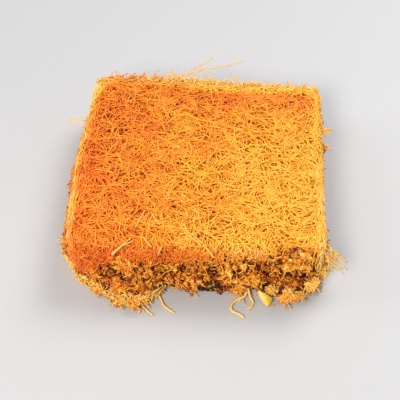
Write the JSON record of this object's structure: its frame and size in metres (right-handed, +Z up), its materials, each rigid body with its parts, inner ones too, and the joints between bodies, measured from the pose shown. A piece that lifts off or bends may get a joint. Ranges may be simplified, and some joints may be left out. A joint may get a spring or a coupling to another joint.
{
  "type": "kunafa slab",
  "caption": "Rectangular slab of kunafa: browned shredded pastry over a crumbly chopped nut filling on a pale pastry base.",
  "frame": {"origin": "middle of the underside, on the surface that the slab rests on, under the middle of the whole piece with its loose strands", "axes": "+Z up, the cut front faces -Y, +X to the right seen from the front"},
  "size_m": [0.2077, 0.2119, 0.0471],
  "materials": {
    "base_pastry": "syrup-soaked shredded pastry, pale gold, matt to satin",
    "nut_filling": "crumbly chopped nuts, golden brown with dark gaps, matt",
    "top_pastry": "browned shredded pastry, orange to golden yellow, light syrup gloss",
    "nut_piece": "pale yellow nut, satin"
  },
  "bodies": {
    "root": {"base_pastry": "base_pastry", "nut_filling": "nut_filling", "top_pastry": "top_pastry", "nut_piece": "nut_piece"}
  },
  "joints": []
}
